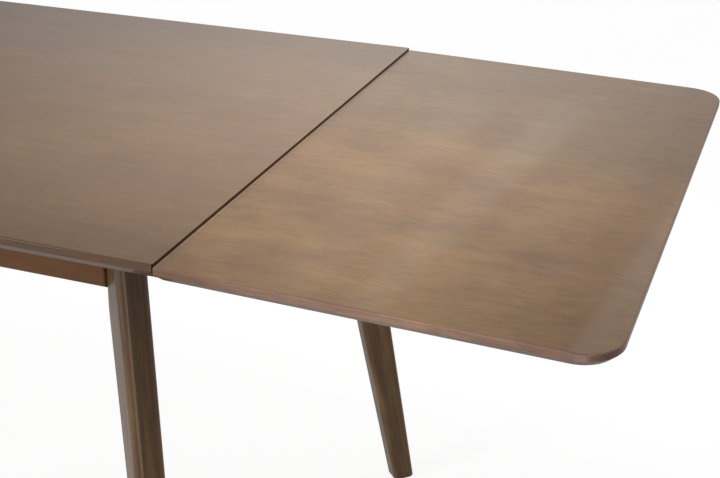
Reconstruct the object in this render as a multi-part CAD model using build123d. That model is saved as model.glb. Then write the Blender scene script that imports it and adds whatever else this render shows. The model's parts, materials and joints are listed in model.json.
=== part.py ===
from build123d import *
import math
import os

# Extendable dining table: a fixed main top on a splayed four-leg base, with a drop leaf hinged
# at one end and held level by two locking flap brackets.
# Millimetres. +Z up, floor at Z = 0, +X from the fixed end towards the leaf, +Y to the back.
# The pieces are first placed with X = 0 at the seam, then centred over the floor at the end.

# Overall sizes
TABLE_HEIGHT = 755.0
TABLE_WIDTH = 750.0
MAIN_LENGTH = 1200.0
LEAF_LENGTH = 440.0
MAIN_THICK = 18.0
LEAF_THICK = 14.8
CORNER_RADIUS = 42.0
SEAM_CORNER_RADIUS = 3.5
SEAM_CORNER_MARGIN = 0.5
MAIN_BEVEL = 9.5
LEAF_BEVEL = 7.0
ARRIS_RADIUS = 1.5

# Seam and hinge line
SEAM_GAP = 0.2
LEAF_STEP = 3.3
LEAF_SAG = 1.0
AXIS_OUT = 0.5
AXIS_DROP = 6.0

# Base frame
APRON_INSET = 83.0
END_APRON_INSET = 78.5
APRON_THICK = 20.0
APRON_HEIGHT = 67.5
APRON_EDGE_RADIUS = 3.0
RAIL_THICK = 20.0
RAIL_HEIGHT = 40.0

# Legs
LEG_SIDE = 10.0
LEG_TOP_LONG = 64.0
LEG_TOP_SHORT = 33.8
LEG_FOOT_LONG = 35.5
LEG_FOOT_SHORT = 32.0
LEG_TOP_RADIUS = 9.0
LEG_FOOT_RADIUS = 8.0
LEG_SPLAY_X = 6.5
LEG_SPLAY_Y = 8.6
LEG_FLAT_DEPTH = 132.0
TOE_ROUND = 1.5
TOE_HEIGHT = 2.5
LEG_GAP = 1.8

# Corner blocks and leg bolts
BLOCK_DEPTH = 44.0
BLOCK_HEIGHT = 60.0
BLOCK_NOSE = 24.0
BLOCK_SCREW_OUT = 34.0
BLOCK_SCREW_SIDE = 13.0
BOLT_RADIUS = 4.0
BOLT_IN_LEG = 22.0
BOLT_TAIL = 12.0
BOLT_TOP_DROP = 14.0
BOLT_PITCH = 28.0
WASHER_RADIUS = 9.0
WASHER_THICK = 1.6
NUT_FLATS = 13.0
NUT_HEIGHT = 6.5

# Foot glides
GLIDE_RADIUS = 9.0
GLIDE_THICK = 2.0
GLIDE_PIN_RADIUS = 1.5
GLIDE_PIN_LENGTH = 12.0

# Clips that hold the main top to the aprons
CLIP_LEG = 22.0
CLIP_SCREW_OUT = 13.0
CLIP_WIDTH = 18.0
CLIP_THICK = 2.0
CLIPS_PER_SIDE = 3

# Butt hinges
HINGE_INSET = 75.0
HINGE_LENGTH = 60.0
HINGE_KNUCKLES = 5
PLATE_THICK = 2.0
PLATE_WIDTH = 32.0
PLATE_START = 8.0
KNUCKLE_RADIUS = 4.0
KNUCKLE_GAP = 0.4
HINGE_PIN_RADIUS = 1.75
HINGE_PIN_HEAD = 3.0
HINGE_PIN_HEAD_THICK = 1.0

# Flap brackets and their locks
BRACKET_INSET = 225.0
BASE_START = 12.0
BASE_LENGTH = 56.0
BASE_WIDTH = 44.0
BASE_SCREW_MARGIN = 6.0
EAR_THICK = 2.0
EAR_DEPTH = 14.0
EYE_RADIUS = 5.5
ARM_LENGTH = 230.0
ARM_WIDTH = 19.0
ARM_DEPTH = 12.0
ARM_WALL = 2.0
ARM_SCREWS = 3
SIDE_PLAY = 0.5
BRACKET_PIN_RADIUS = 2.5
RIVET_HEAD_RADIUS = 4.5
RIVET_HEAD_THICK = 1.2
LEVER_WIDTH = 6.0
LEVER_PIVOT_BACK = 30.0
LEVER_PIVOT_DROP = 6.0
LEVER_HUB_RADIUS = 4.0
LEVER_NOSE_HEIGHT = 4.0
LEVER_TAB_BACK = 24.0
LEVER_TAB_DROP = 16.0
LEVER_TAB_THICK = 3.0
LEVER_PIN_RADIUS = 2.0
SPRING_RADIUS = 3.4
SPRING_LEG_THICK = 1.0

# Wood screws
SCREW_RADIUS = 1.75
SCREW_HEAD_RADIUS = 3.5
SCREW_IN_WOOD = 10.0
BLOCK_SCREW_RADIUS = 2.5
BLOCK_SCREW_HEAD_RADIUS = 4.5
BLOCK_SCREW_HEAD_HEIGHT = 2.6
BLOCK_SCREW_IN_TOP = 11.0

# Fits
FIT = 0.05
REST_GAP = 0.4

UNDERSIDE = TABLE_HEIGHT - MAIN_THICK
LEAF_TOP = TABLE_HEIGHT - LEAF_STEP
LEAF_UNDERSIDE = LEAF_TOP - LEAF_THICK
AXIS_X = AXIS_OUT
AXIS_Z = UNDERSIDE - AXIS_DROP
HINGE_LINE = Axis((AXIS_X, 0, AXIS_Z), (0, 1, 0))

APRON_Y = TABLE_WIDTH / 2 - APRON_INSET
APRON_BACK_Y = APRON_Y - APRON_THICK
APRON_X = -END_APRON_INSET
APRON_BACK_X = APRON_X - APRON_THICK
APRON_BOTTOM = UNDERSIDE - APRON_HEIGHT
LEG_X = APRON_X - LEG_SIDE
LEG_Y = APRON_Y - LEG_SIDE
LEAN_X = math.tan(math.radians(LEG_SPLAY_X))
LEAN_Y = math.tan(math.radians(LEG_SPLAY_Y))
ROOT_TWO = math.sqrt(2)

# The legs lean along the corner's diagonal. Out is the distance along it from the leg's top
# centre, and the inner flat is where the seat of the corner block trims the leg. The aprons stop
# square, just short of the edge of that flat.
LEAN_OUT = (LEAN_X + LEAN_Y) / ROOT_TWO
LEAN_SIDE = (LEAN_Y - LEAN_X) / ROOT_TWO
LEG_TAPER_LONG = (LEG_TOP_LONG - LEG_FOOT_LONG) / 2 / UNDERSIDE
FLAT_OUT = LEAN_OUT * LEG_FLAT_DEPTH - (LEG_TOP_LONG / 2 - LEG_TAPER_LONG * LEG_FLAT_DEPTH)
LEG_EDGE = LEG_TOP_SHORT / 2 + abs(LEAN_SIDE) * APRON_HEIGHT
APRON_END_BACK = (LEG_EDGE - FLAT_OUT) / ROOT_TWO + LEG_GAP


def block(x0, x1, y0, y1, z0, z1):
    """A box between two corners."""
    return Pos((x0 + x1) / 2, (y0 + y1) / 2, (z0 + z1) / 2) * Box(x1 - x0, y1 - y0, z1 - z0)


def side_profile(points, y0, y1):
    """An outline in X and Z, counter-clockwise from the front, made solid from y0 to y1."""
    face = Plane.XZ * Polygon(*points, align=None)
    return Pos(0, y1, 0) * extrude(face, y1 - y0)


def plan_profile(points, z0, z1):
    """An outline in X and Y, counter-clockwise from above, made solid from z0 to z1."""
    return Pos(0, 0, z0) * extrude(Polygon(*points, align=None), z1 - z0)


def rod_y(x, z, radius, y0, y1):
    """A round bar along Y."""
    return Pos(x, (y0 + y1) / 2, z) * Rot(90, 0, 0) * Cylinder(radius, y1 - y0)


def rod_between(start, end, radius):
    """A round bar from one point to another."""
    direction = Vector(*end) - Vector(*start)
    plane = Plane(origin=start, z_dir=direction)
    return plane * extrude(Circle(radius), direction.length)


def group(solids):
    """Separate solids kept together as one node."""
    return Compound([solid for shape in solids for solid in shape.solids()])


def flat_head_screw(radius, head_radius, head_height, length, play=0.0):
    """A countersunk screw pointing up, head face at Z = 0; play widens it to make its hole."""
    head = Pos(0, 0, head_height / 2) * Cone(head_radius + play, radius + play, head_height)
    shank = Pos(0, 0, length / 2) * Cylinder(radius + play, length + play * 2)
    return head + shank


def wood_screw(play=0.0):
    """The small screw that holds plates of the hinges, brackets and clips."""
    return flat_head_screw(SCREW_RADIUS, SCREW_HEAD_RADIUS, PLATE_THICK, PLATE_THICK + SCREW_IN_WOOD, play)


def pilot(place):
    """The hole that one of the small screws needs."""
    return place * wood_screw(FIT)


def around_base(shape):
    """A piece of the front right corner, repeated at the four corners of the base."""
    middle = Plane.YZ.offset(-MAIN_LENGTH / 2)
    back = mirror(shape, about=Plane.XZ)
    return {
        "front_right": shape,
        "back_right": back,
        "front_left": mirror(shape, about=middle),
        "back_left": mirror(back, about=middle),
    }


def at_leg(out, side):
    """Plan position at the front right leg, out along the diagonal and sideways across it."""
    return (LEG_X + (out + side) / ROOT_TWO, -LEG_Y + (side - out) / ROOT_TWO)


# Places of the small screws
HINGE_Y = TABLE_WIDTH / 2 - HINGE_INSET
HINGE_YS = {"front": -HINGE_Y, "middle": 0.0, "back": HINGE_Y}
BRACKET_Y = TABLE_WIDTH / 2 - BRACKET_INSET
BRACKET_YS = {"front": -BRACKET_Y, "back": BRACKET_Y}
PLATE_MIDDLE = PLATE_START + PLATE_WIDTH / 2
HINGE_SCREW_STEP = HINGE_LENGTH / 3
LEAF_FLAT_X = SEAM_GAP + LEAF_BEVEL
ARM_START = LEAF_FLAT_X - AXIS_X


def hinge_screw_ys():
    """Screw rows along the hinge line, three on each hinge."""
    return [y + step * HINGE_SCREW_STEP for y in HINGE_YS.values() for step in (-1, 0, 1)]


fixed_plate_screws = [
    Pos(AXIS_X - PLATE_MIDDLE, y, UNDERSIDE - PLATE_THICK) for y in hinge_screw_ys()
]
leaf_plate_screws = [
    Pos(AXIS_X + PLATE_MIDDLE, y, LEAF_UNDERSIDE - PLATE_THICK) for y in hinge_screw_ys()
]
base_screws = [
    Pos(AXIS_X - x, y + side * (BASE_WIDTH / 2 - BASE_SCREW_MARGIN), UNDERSIDE - PLATE_THICK)
    for y in BRACKET_YS.values()
    for side in (-1, 1)
    for x in (BASE_START + BASE_SCREW_MARGIN, BASE_LENGTH - BASE_SCREW_MARGIN)
]
arm_screws = [
    Pos(LEAF_FLAT_X + row * (ARM_LENGTH - ARM_START) / ARM_SCREWS, y, LEAF_UNDERSIDE - PLATE_THICK)
    for y in BRACKET_YS.values()
    for row in (index + 0.5 for index in range(ARM_SCREWS))
]

# Clips along the two long aprons, spread evenly between the corner blocks
CLIP_SPAN = MAIN_LENGTH / (CLIPS_PER_SIDE + 1)
clip_places = [
    (-CLIP_SPAN * (index + 1) + (RAIL_THICK + CLIP_WIDTH) * (index == CLIPS_PER_SIDE // 2), side)
    for index in range(CLIPS_PER_SIDE)
    for side in (-1, 1)
]
clip_top_screws = [
    Pos(x, side * (APRON_BACK_Y - CLIP_SCREW_OUT), UNDERSIDE - CLIP_THICK) for x, side in clip_places
]
clip_apron_screws = [
    Pos(x, side * (APRON_BACK_Y - CLIP_THICK), UNDERSIDE - CLIP_SCREW_OUT) * Rot(side * -90, 0, 0)
    for x, side in clip_places
]

# Screws that draw the top down onto the corner blocks
BLOCK_SCREW_LENGTH = BLOCK_HEIGHT + BLOCK_SCREW_IN_TOP
block_screw_place = Pos(
    *at_leg(FLAT_OUT - BLOCK_SCREW_OUT, BLOCK_SCREW_SIDE), UNDERSIDE - BLOCK_HEIGHT
)


def block_screw(play=0.0):
    """The long screw of a corner block."""
    return block_screw_place * flat_head_screw(
        BLOCK_SCREW_RADIUS, BLOCK_SCREW_HEAD_RADIUS, BLOCK_SCREW_HEAD_HEIGHT, BLOCK_SCREW_LENGTH, play
    )


def main_top():
    """The fixed top: rounded at the free end, cut square at the seam."""
    overrun = CORNER_RADIUS * 2
    outline = RectangleRounded(MAIN_LENGTH + overrun, TABLE_WIDTH, CORNER_RADIUS)
    board = Pos((overrun - MAIN_LENGTH) / 2, 0, UNDERSIDE) * extrude(outline, MAIN_THICK)
    board = chamfer(board.faces().sort_by(Axis.Z)[0].edges(), MAIN_BEVEL)
    board = fillet(board.faces().sort_by(Axis.Z)[-1].edges(), ARRIS_RADIUS)
    keep_length = MAIN_LENGTH + overrun
    keep = RectangleRounded(keep_length, TABLE_WIDTH + SEAM_CORNER_MARGIN * 2, SEAM_CORNER_RADIUS)
    board = board & Pos(-keep_length / 2, 0, 0) * extrude(keep, TABLE_HEIGHT * 2)
    for place in fixed_plate_screws + base_screws + clip_top_screws:
        board -= pilot(place)
    for screw_hole in around_base(block_screw(FIT)).values():
        board -= screw_hole
    return board


def leaf():
    """The drop leaf: crisp at the seam, rounded at its outer corners, bevelled underneath."""
    outline = Rectangle(LEAF_LENGTH * 2, TABLE_WIDTH)
    outline = fillet(outline.vertices().group_by(Axis.X)[-1], CORNER_RADIUS)
    board = Pos(SEAM_GAP, 0, LEAF_UNDERSIDE) * extrude(outline, LEAF_THICK)
    board = fillet(board.faces().sort_by(Axis.Z)[-1].edges(), ARRIS_RADIUS)
    board = board & block(SEAM_GAP, LEAF_LENGTH * 2, -TABLE_WIDTH, TABLE_WIDTH, 0, TABLE_HEIGHT)
    board = chamfer(board.faces().sort_by(Axis.Z)[0].edges(), LEAF_BEVEL)
    for place in leaf_plate_screws + arm_screws:
        board -= pilot(place)
    return board


def long_apron(side):
    """A front or back apron between the legs; side is -1 at the front and 1 at the back."""
    end = LEG_X - APRON_END_BACK
    low, high = sorted((side * APRON_BACK_Y, side * APRON_Y))
    board = block(-MAIN_LENGTH - end, end, low, high, APRON_BOTTOM, UNDERSIDE)
    lower = board.faces().sort_by(Axis.Z)[0].edges().filter_by(Axis.X)
    board = fillet(board.edges().filter_by(Axis.Z) + lower, APRON_EDGE_RADIUS)
    for (x, place_side), place in zip(clip_places, clip_apron_screws):
        if place_side == side:
            board -= pilot(place)
    return board


def end_apron():
    """The apron across the leaf end of the base."""
    half = LEG_Y - APRON_END_BACK
    board = block(APRON_BACK_X, APRON_X, -half, half, APRON_BOTTOM, UNDERSIDE)
    lower = board.faces().sort_by(Axis.Z)[0].edges().filter_by(Axis.Y)
    return fillet(board.edges().filter_by(Axis.Z) + lower, APRON_EDGE_RADIUS)


def centre_rail():
    """The rail across the middle, under the main top."""
    middle = -MAIN_LENGTH / 2
    return block(
        middle - RAIL_THICK / 2, middle + RAIL_THICK / 2,
        -APRON_BACK_Y, APRON_BACK_Y, UNDERSIDE - RAIL_HEIGHT, UNDERSIDE,
    )


def leg_section(drop, long_side, short_side, radius):
    """The leg's rounded section at a depth below the top, its long side along the diagonal."""
    centre = (LEG_X + LEAN_X * drop, -LEG_Y - LEAN_Y * drop, UNDERSIDE - drop)
    plane = Plane(origin=centre, x_dir=(1, -1, 0), z_dir=(0, 0, 1))
    return plane * RectangleRounded(long_side, short_side, radius)


def bolt_heights():
    """Heights of the two bolts of each leg."""
    first = UNDERSIDE - BOLT_TOP_DROP
    return [first, first - BOLT_PITCH]


def leg_bolt(height, play=0.0):
    """A bolt along the diagonal, from inside the leg out through the corner block."""
    start = (*at_leg(FLAT_OUT + BOLT_IN_LEG + play, 0), height)
    end = (*at_leg(FLAT_OUT - BLOCK_DEPTH - BOLT_TAIL, 0), height)
    return rod_between(start, end, BOLT_RADIUS + play)


def foot_centre():
    """Plan position of the front right foot."""
    drop = UNDERSIDE - GLIDE_THICK
    return (LEG_X + LEAN_X * drop, -LEG_Y - LEAN_Y * drop)


def glide(play=0.0):
    """A round glide with its pin, under the front right foot."""
    x, y = foot_centre()
    disc = Pos(x, y, GLIDE_THICK / 2) * Cylinder(GLIDE_RADIUS, GLIDE_THICK)
    pin_top = GLIDE_THICK + GLIDE_PIN_LENGTH + play
    pin = Pos(x, y, pin_top / 2) * Cylinder(GLIDE_PIN_RADIUS + play, pin_top)
    return disc + pin


def leg():
    """The front right leg: a leaning, tapered bar with a seat flat on its inner side."""
    full_foot = UNDERSIDE - GLIDE_THICK - TOE_HEIGHT
    toe = UNDERSIDE - GLIDE_THICK
    sections = [
        leg_section(0, LEG_TOP_LONG, LEG_TOP_SHORT, LEG_TOP_RADIUS),
        leg_section(full_foot, LEG_FOOT_LONG, LEG_FOOT_SHORT, LEG_FOOT_RADIUS),
        leg_section(
            toe, LEG_FOOT_LONG - TOE_ROUND * 2, LEG_FOOT_SHORT - TOE_ROUND * 2, LEG_FOOT_RADIUS - TOE_ROUND
        ),
    ]
    bar = loft(sections, ruled=True)
    reach = LEG_TOP_LONG
    trim = plan_profile(
        [
            at_leg(FLAT_OUT - reach, -reach),
            at_leg(FLAT_OUT, -reach),
            at_leg(FLAT_OUT, reach),
            at_leg(FLAT_OUT - reach, reach),
        ],
        UNDERSIDE - LEG_FLAT_DEPTH * 2, TABLE_HEIGHT,
    )
    bar -= trim
    for height in bolt_heights():
        bar -= leg_bolt(height, FIT)
    return bar - glide(FIT)


def corner_block():
    """The block across the front right corner: glued to both aprons, its nose bolted to the leg."""
    back = (FLAT_OUT - BLOCK_DEPTH) * ROOT_TWO
    apron_dx = APRON_BACK_X - LEG_X
    apron_dy = LEG_Y - APRON_BACK_Y
    points = [
        (LEG_X + apron_dy + back, -APRON_BACK_Y),
        (LEG_X - APRON_END_BACK, -APRON_BACK_Y),
        at_leg(FLAT_OUT, -BLOCK_NOSE / 2),
        at_leg(FLAT_OUT, BLOCK_NOSE / 2),
        (APRON_BACK_X, APRON_END_BACK - LEG_Y),
        (APRON_BACK_X, apron_dx - back - LEG_Y),
    ]
    body = plan_profile(points, UNDERSIDE - BLOCK_HEIGHT, UNDERSIDE)
    for height in bolt_heights():
        body -= leg_bolt(height, FIT)
    return body - block_screw(FIT)


def washer(height):
    """A washer against the inner face of the corner block."""
    face = FLAT_OUT - BLOCK_DEPTH
    start = (*at_leg(face, 0), height)
    end = (*at_leg(face - WASHER_THICK, 0), height)
    return rod_between(start, end, WASHER_RADIUS) - leg_bolt(height, FIT)


def nut(height):
    """A hexagon nut on the washer."""
    face = FLAT_OUT - BLOCK_DEPTH - WASHER_THICK
    start = Vector(*at_leg(face, 0), height)
    end = Vector(*at_leg(face - NUT_HEIGHT, 0), height)
    plane = Plane(origin=start, z_dir=end - start)
    body = plane * extrude(RegularPolygon(NUT_FLATS / 2, 6, major_radius=False), NUT_HEIGHT)
    return body - leg_bolt(height, FIT)


def top_clip(x, side, top_place, apron_place):
    """An angle clip between an apron and the main top."""
    inner, outer = side * (APRON_BACK_Y - CLIP_LEG), side * APRON_BACK_Y
    wall = side * (APRON_BACK_Y - CLIP_THICK)
    x0, x1 = x - CLIP_WIDTH / 2, x + CLIP_WIDTH / 2
    upper = block(x0, x1, min(inner, outer), max(inner, outer), UNDERSIDE - CLIP_THICK, UNDERSIDE)
    lower = block(x0, x1, min(wall, outer), max(wall, outer), UNDERSIDE - CLIP_LEG, UNDERSIDE)
    return upper + lower - pilot(top_place) - pilot(apron_place)


def knuckle_spans(y_centre, first):
    """The Y spans of every other knuckle of a hinge, starting at the first given."""
    pitch = HINGE_LENGTH / HINGE_KNUCKLES
    start = y_centre - HINGE_LENGTH / 2
    for index in range(first, HINGE_KNUCKLES, 2):
        low = start + index * pitch + KNUCKLE_GAP / 2
        yield low, low + pitch - KNUCKLE_GAP


def hinge_pin_hole(y_centre):
    """The running bore through the knuckles of a hinge."""
    return rod_y(AXIS_X, AXIS_Z, HINGE_PIN_RADIUS + FIT, y_centre - HINGE_LENGTH, y_centre + HINGE_LENGTH)


def hinge_half(y_centre, direction, mount_z, first, screw_places):
    """One half of a butt hinge; direction is -1 for the fixed half and 1 for the leaf half."""
    near = AXIS_X + direction * PLATE_START
    far = near + direction * PLATE_WIDTH
    half = HINGE_LENGTH / 2
    plate = block(
        min(near, far), max(near, far), y_centre - half, y_centre + half, mount_z - PLATE_THICK, mount_z
    )
    for low, high in knuckle_spans(y_centre, first):
        tail = [
            (near + direction * PLATE_THICK, mount_z),
            (near, mount_z),
            (AXIS_X, AXIS_Z + KNUCKLE_RADIUS),
            (AXIS_X, AXIS_Z),
            (near, mount_z - PLATE_THICK),
            (near + direction * PLATE_THICK, mount_z - PLATE_THICK),
        ]
        if direction < 0:
            tail.reverse()
        plate += side_profile(tail, low, high)
        plate += rod_y(AXIS_X, AXIS_Z, KNUCKLE_RADIUS, low, high)
    plate -= hinge_pin_hole(y_centre)
    for place in screw_places:
        if abs(place.position.Y - y_centre) < half:
            plate -= pilot(place)
    return plate


def headed_pin(x, z, radius, half_length, head_radius, head_thick, y_centre):
    """A riveted pin along Y with a head at each end."""
    low, high = y_centre - half_length, y_centre + half_length
    shank = rod_y(x, z, radius, low, high)
    near_head = rod_y(x, z, head_radius, low - head_thick, low)
    far_head = rod_y(x, z, head_radius, high, high + head_thick)
    return shank + near_head + far_head


# Widths across a flap bracket, from the lever out to the ears
EAR_INNER = ARM_WIDTH / 2 + SIDE_PLAY
EAR_OUTER = EAR_INNER + EAR_THICK
LEVER_X = AXIS_X - LEVER_PIVOT_BACK
LEVER_Z = AXIS_Z - LEVER_PIVOT_DROP


def bracket_base(y_centre):
    """The fixed part of a flap bracket: a screwed plate with two ears that carry the pins."""
    back, front = AXIS_X - BASE_LENGTH, AXIS_X - BASE_START
    half = BASE_WIDTH / 2
    seat = UNDERSIDE - PLATE_THICK
    body = block(back, front, y_centre - half, y_centre + half, seat, UNDERSIDE)
    ear = [
        (back, seat),
        (back, AXIS_Z - EAR_DEPTH),
        (LEVER_X - LEVER_HUB_RADIUS, AXIS_Z - EAR_DEPTH),
        (AXIS_X, AXIS_Z - EYE_RADIUS),
        (AXIS_X, AXIS_Z + EYE_RADIUS),
        (front, seat),
    ]
    for low in (-EAR_OUTER, EAR_INNER):
        body += side_profile(ear, y_centre + low, y_centre + low + EAR_THICK)
        body += rod_y(AXIS_X, AXIS_Z, EYE_RADIUS, y_centre + low, y_centre + low + EAR_THICK)
    reach = BASE_WIDTH
    body -= rod_y(AXIS_X, AXIS_Z, BRACKET_PIN_RADIUS + FIT, y_centre - reach, y_centre + reach)
    body -= rod_y(LEVER_X, LEVER_Z, LEVER_PIN_RADIUS + FIT, y_centre - reach, y_centre + reach)
    for place in base_screws:
        if abs(place.position.Y - y_centre) < half:
            body -= pilot(place)
    return body


def bracket_arm(y_centre):
    """The swinging part of a flap bracket: a channel under the leaf with a hub round the pin."""
    half = ARM_WIDTH / 2
    start, end = AXIS_X + ARM_START, AXIS_X + ARM_LENGTH
    body = block(start, end, y_centre - half, y_centre + half, LEAF_UNDERSIDE - PLATE_THICK, LEAF_UNDERSIDE)
    flange = [
        (AXIS_X, AXIS_Z + EYE_RADIUS),
        (AXIS_X, AXIS_Z - EYE_RADIUS),
        (AXIS_X + ARM_DEPTH * 2, AXIS_Z - ARM_DEPTH),
        (end, LEAF_UNDERSIDE - ARM_WALL * 2),
        (end, LEAF_UNDERSIDE),
        (start, LEAF_UNDERSIDE),
    ]
    for low in (-half, half - ARM_WALL):
        body += side_profile(flange, y_centre + low, y_centre + low + ARM_WALL)
    body += rod_y(AXIS_X, AXIS_Z, EYE_RADIUS, y_centre - half, y_centre + half)
    body -= rod_y(AXIS_X, AXIS_Z, BRACKET_PIN_RADIUS + FIT, y_centre - half, y_centre + half)
    for place in arm_screws:
        if abs(place.position.Y - y_centre) < half:
            body -= pilot(place)
    return body


def lock_lever(y_centre):
    """The release lever: a nose at the arm's hub, a pivot hub and a finger tab below."""
    low, high = y_centre - LEVER_WIDTH / 2, y_centre + LEVER_WIDTH / 2
    nose_x = AXIS_X - EYE_RADIUS - REST_GAP
    nose = [
        (LEVER_X, LEVER_Z + LEVER_HUB_RADIUS),
        (LEVER_X, LEVER_Z - LEVER_HUB_RADIUS),
        (nose_x, AXIS_Z - LEVER_NOSE_HEIGHT),
        (nose_x, AXIS_Z),
    ]
    tab_end = LEVER_X - LEVER_TAB_BACK
    tab_z = LEVER_Z - LEVER_TAB_DROP
    tab = [
        (LEVER_X, LEVER_Z + LEVER_HUB_RADIUS),
        (LEVER_X - LEVER_HUB_RADIUS, LEVER_Z),
        (tab_end, tab_z + LEVER_TAB_THICK),
        (tab_end, tab_z),
        (LEVER_X, LEVER_Z - LEVER_HUB_RADIUS),
    ]
    body = side_profile(nose, low, high) + side_profile(tab, low, high)
    body += rod_y(LEVER_X, LEVER_Z, LEVER_HUB_RADIUS, low, high)
    wide = EAR_INNER - SIDE_PLAY
    body += block(
        tab_end - LEVER_TAB_THICK, tab_end + LEVER_TAB_THICK,
        y_centre - wide, y_centre + wide, tab_z, tab_z + LEVER_TAB_THICK,
    )
    return body - rod_y(LEVER_X, LEVER_Z, LEVER_PIN_RADIUS + FIT, y_centre - EAR_OUTER, y_centre + EAR_OUTER)


def lock_spring(y_centre):
    """The torsion spring beside a lever, wound on its pin with one leg on the base plate."""
    low = y_centre + LEVER_WIDTH / 2 + REST_GAP
    high = y_centre + EAR_INNER - REST_GAP / 2
    coil = rod_y(LEVER_X, LEVER_Z, SPRING_RADIUS, low, high)
    leg_x = LEVER_X - SPRING_RADIUS
    seat = UNDERSIDE - PLATE_THICK
    coil += block(leg_x, leg_x + SPRING_LEG_THICK, high - SPRING_LEG_THICK, high, LEVER_Z, seat)
    return coil - rod_y(LEVER_X, LEVER_Z, LEVER_PIN_RADIUS + FIT, y_centre - EAR_OUTER, y_centre + EAR_OUTER)


def table_nodes():
    """Every piece of the fixed table by its node name, seam at X = 0."""
    nodes = {
        "main_top": main_top(),
        "front_apron": long_apron(-1),
        "back_apron": long_apron(1),
        "right_end_apron": end_apron(),
        "left_end_apron": mirror(end_apron(), about=Plane.YZ.offset(-MAIN_LENGTH / 2)),
        "centre_rail": centre_rail(),
    }
    for corner, shape in around_base(leg()).items():
        nodes[f"leg_{corner}"] = shape
    for corner, shape in around_base(corner_block()).items():
        nodes[f"corner_block_{corner}"] = shape
    for name, maker in (("leg_bolts", leg_bolt), ("leg_washers", washer), ("leg_nuts", nut)):
        shapes = [around_base(maker(height)).values() for height in bolt_heights()]
        nodes[name] = group(shape for row in shapes for shape in row)
    nodes["corner_block_screws"] = group(around_base(block_screw()).values())
    nodes["foot_glides"] = group(around_base(glide()).values())
    nodes["top_clips"] = group(
        top_clip(x, side, top_place, apron_place)
        for (x, side), top_place, apron_place in zip(clip_places, clip_top_screws, clip_apron_screws)
    )
    nodes["top_clip_screws"] = group(
        place * wood_screw() for place in clip_top_screws + clip_apron_screws
    )
    for name, y in HINGE_YS.items():
        nodes[f"hinge_{name}_fixed_plate"] = hinge_half(y, -1, UNDERSIDE, 0, fixed_plate_screws)
    nodes["hinge_pins"] = group(
        headed_pin(
            AXIS_X, AXIS_Z, HINGE_PIN_RADIUS, HINGE_LENGTH / 2, HINGE_PIN_HEAD, HINGE_PIN_HEAD_THICK, y
        )
        for y in HINGE_YS.values()
    )
    nodes["hinge_fixed_screws"] = group(place * wood_screw() for place in fixed_plate_screws)
    for name, y in BRACKET_YS.items():
        nodes[f"{name}_bracket_base"] = bracket_base(y)
    nodes["bracket_pins"] = group(
        headed_pin(
            AXIS_X, AXIS_Z, BRACKET_PIN_RADIUS, EAR_OUTER, RIVET_HEAD_RADIUS, RIVET_HEAD_THICK, y
        )
        for y in BRACKET_YS.values()
    )
    nodes["lock_pins"] = group(
        headed_pin(
            LEVER_X, LEVER_Z, LEVER_PIN_RADIUS, EAR_OUTER, RIVET_HEAD_RADIUS, RIVET_HEAD_THICK, y
        )
        for y in BRACKET_YS.values()
    )
    nodes["lock_springs"] = group(lock_spring(y) for y in BRACKET_YS.values())
    nodes["bracket_base_screws"] = group(place * wood_screw() for place in base_screws)
    for name, y in BRACKET_YS.items():
        nodes[f"{name}_lock_lever"] = lock_lever(y)
    return nodes


def leaf_nodes():
    """Every piece that swings with the leaf, resting at its sag below level."""
    nodes = {"leaf": leaf()}
    for name, y in HINGE_YS.items():
        nodes[f"hinge_{name}_leaf_plate"] = hinge_half(y, 1, LEAF_UNDERSIDE, 1, leaf_plate_screws)
    nodes["hinge_leaf_screws"] = group(place * wood_screw() for place in leaf_plate_screws)
    for name, y in BRACKET_YS.items():
        nodes[f"{name}_bracket_arm"] = bracket_arm(y)
    nodes["bracket_arm_screws"] = group(place * wood_screw() for place in arm_screws)
    return {name: shape.rotate(HINGE_LINE, LEAF_SAG) for name, shape in nodes.items()}


all_nodes = {**table_nodes(), **leaf_nodes()}
boxes = [shape.bounding_box() for shape in all_nodes.values()]
centre_x = (min(box.min.X for box in boxes) + max(box.max.X for box in boxes)) / 2
centring = Pos(-centre_x, 0, 0)

os.makedirs("parts", exist_ok=True)
for node, shape in all_nodes.items():
    export_step(centring * shape, f"parts/{node}.step")

low = [min(getattr(box.min, axis) for box in boxes) for axis in "XYZ"]
high = [max(getattr(box.max, axis) for box in boxes) for axis in "XYZ"]
print("nodes", len(all_nodes))
print("size", [round(top - bottom, 3) for bottom, top in zip(low, high)])
print("seam X", round(-centre_x, 4))
print("leaf hinge X, Z", round(AXIS_X - centre_x, 4), round(AXIS_Z, 4))
print("lever pivot X, Z", round(LEVER_X - centre_x, 4), round(LEVER_Z, 4))
print("front right foot X, Y", [round(value, 4) for value in foot_centre()])
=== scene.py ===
"""Extendable dining table with a drop leaf: finishes, fine pieces, light and camera."""
import json
import math

import bmesh
import bpy
from mathutils import Matrix, Vector


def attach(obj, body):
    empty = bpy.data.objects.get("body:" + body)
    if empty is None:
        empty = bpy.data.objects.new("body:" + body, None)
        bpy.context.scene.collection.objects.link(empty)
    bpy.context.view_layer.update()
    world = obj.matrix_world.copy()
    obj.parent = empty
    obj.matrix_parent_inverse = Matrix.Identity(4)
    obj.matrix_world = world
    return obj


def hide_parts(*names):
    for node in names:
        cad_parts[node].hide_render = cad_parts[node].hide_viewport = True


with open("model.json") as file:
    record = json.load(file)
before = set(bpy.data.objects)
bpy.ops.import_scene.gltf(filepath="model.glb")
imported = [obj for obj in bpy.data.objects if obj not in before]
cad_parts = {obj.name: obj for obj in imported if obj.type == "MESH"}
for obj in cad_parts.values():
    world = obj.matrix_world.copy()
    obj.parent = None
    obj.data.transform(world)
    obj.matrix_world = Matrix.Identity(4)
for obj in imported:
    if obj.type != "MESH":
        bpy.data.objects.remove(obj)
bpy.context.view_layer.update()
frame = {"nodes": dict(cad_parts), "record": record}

# Where the table stands in the shared frame, in metres.
SEAM_X = 0.3875203
TOP_Z = 0.755
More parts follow.
